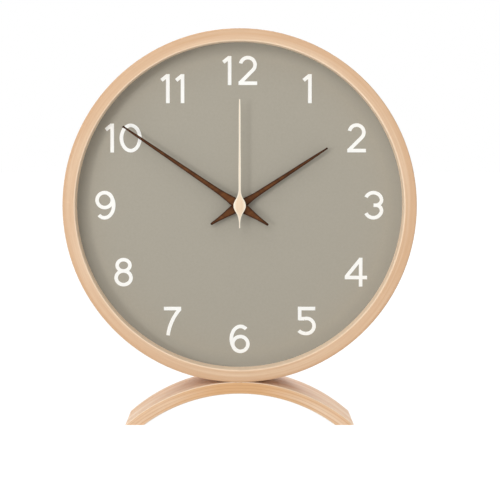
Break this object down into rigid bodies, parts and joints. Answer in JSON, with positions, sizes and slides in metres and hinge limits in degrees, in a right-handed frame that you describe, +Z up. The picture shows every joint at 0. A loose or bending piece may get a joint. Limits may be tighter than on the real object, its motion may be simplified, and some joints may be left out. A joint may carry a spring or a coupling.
{
  "type": "desk clock",
  "caption": "Round bentwood desk clock on an arched wooden foot, with a recessed open dial, tapered wooden hands and a battery movement behind it.",
  "frame": {"origin": "on the table, under the middle of the clock, half way between its front and back", "axes": "+Z up, the dial faces -Y, +X is to the right as the dial is read"},
  "size_m": [0.2032, 0.042, 0.2279],
  "materials": {
    "hoop_wood": "satin",
    "foot_wood": "satin",
    "walnut": "satin",
    "birch": "satin",
    "dial_paint": "matte",
    "numeral_ink": "matte",
    "fibreboard": "matte",
    "black_plastic": "matte",
    "white_plastic": "satin",
    "brass": "satin",
    "steel": "satin",
    "dark_iron": "satin",
    "copper": "gloss",
    "magnet": "satin",
    "circuit_green": "satin",
    "chip_resin": "gloss",
    "cell_wrap": "gloss"
  },
  "bodies": {
    "root": {"ring_frame": "hoop_wood", "base_arch": "foot_wood", "base_screws": "steel", "dial_board": "fibreboard", "dial_card": "dial_paint", "numerals": "numeral_ink", "retaining_points": "steel", "movement_front_plate": "black_plastic", "movement_case": "black_plastic", "case_screws": "steel", "movement_screws": "steel", "train_plate": "white_plastic", "train_bridge": "white_plastic", "stator": "dark_iron", "coil_core": "dark_iron", "coil_bobbin": "white_plastic", "coil_winding": "copper", "circuit_board": "circuit_green", "control_chip": "chip_resin", "quartz_crystal": "steel", "battery_contact_positive": "steel", "battery_contact_negative": "steel", "battery_cell": "cell_wrap"},
    "minute_hand_set": {"minute_arbor": "brass", "clutch_spring": "steel", "minute_hand": "walnut", "minute_hand_bush": "brass"},
    "hour_hand_set": {"hour_wheel": "white_plastic", "hour_hand": "walnut", "hour_hand_bush": "brass"},
    "minute_wheel": {"minute_wheel": "white_plastic"},
    "setting_knob": {"setting_shaft": "white_plastic", "set_knob": "black_plastic"},
    "second_hand_set": {"second_arbor": "steel", "second_wheel": "white_plastic", "second_hand_tube": "brass", "second_hand": "birch"},
    "intermediate_wheel": {"intermediate_wheel": "white_plastic"},
    "rotor": {"rotor_pinion": "white_plastic", "rotor_magnet": "magnet"},
    "third_wheel": {"third_wheel": "white_plastic"},
    "centre_wheel": {"centre_wheel": "white_plastic"}
  },
  "joints": [
    {"name": "minute_hand_turn", "type": "hinge", "parent": "root", "child": "minute_hand_set", "pos_m": [0, 0.0045, 0.1263], "axis": [0, 1, 0], "continuous": true},
    {"name": "hour_hand_turn", "type": "hinge", "parent": "root", "child": "hour_hand_set", "pos_m": [0, 0.0045, 0.1263], "axis": [0, 1, 0], "continuous": true},
    {"name": "minute_wheel_turn", "type": "hinge", "parent": "root", "child": "minute_wheel", "pos_m": [0.00789, 0.0045, 0.12343], "axis": [0, 1, 0], "continuous": true},
    {"name": "setting_knob_turn", "type": "hinge", "parent": "root", "child": "setting_knob", "pos_m": [0.01617, 0.0045, 0.12197], "axis": [0, 1, 0], "continuous": true},
    {"name": "second_hand_turn", "type": "hinge", "parent": "root", "child": "second_hand_set", "pos_m": [0, 0.0045, 0.1263], "axis": [0, 1, 0], "continuous": true},
    {"name": "intermediate_wheel_turn", "type": "hinge", "parent": "root", "child": "intermediate_wheel", "pos_m": [0.00674, 0.0045, 0.13196], "axis": [0, 1, 0], "continuous": true},
    {"name": "rotor_turn", "type": "hinge", "parent": "root", "child": "rotor", "pos_m": [0.00589, 0.0045, 0.1389], "axis": [0, 1, 0], "continuous": true},
    {"name": "third_wheel_turn", "type": "hinge", "parent": "root", "child": "third_wheel", "pos_m": [-0.00762, 0.0045, 0.1307], "axis": [0, 1, 0], "continuous": true},
    {"name": "centre_wheel_turn", "type": "hinge", "parent": "root", "child": "centre_wheel", "pos_m": [0, 0.0045, 0.1263], "axis": [0, 1, 0], "continuous": true}
  ],
  "couplings": [
    {"joint": "hour_hand_turn", "follows": "minute_hand_turn", "ratio": 0.083333},
    {"joint": "minute_wheel_turn", "follows": "minute_hand_turn", "ratio": -0.33333},
    {"joint": "setting_knob_turn", "follows": "minute_hand_turn", "ratio": 1},
    {"joint": "intermediate_wheel_turn", "follows": "second_hand_turn", "ratio": -5},
    {"joint": "rotor_turn", "follows": "second_hand_turn", "ratio": 30},
    {"joint": "third_wheel_turn", "follows": "second_hand_turn", "ratio": -0.13333},
    {"joint": "centre_wheel_turn", "follows": "second_hand_turn", "ratio": 0.016667}
  ]
}
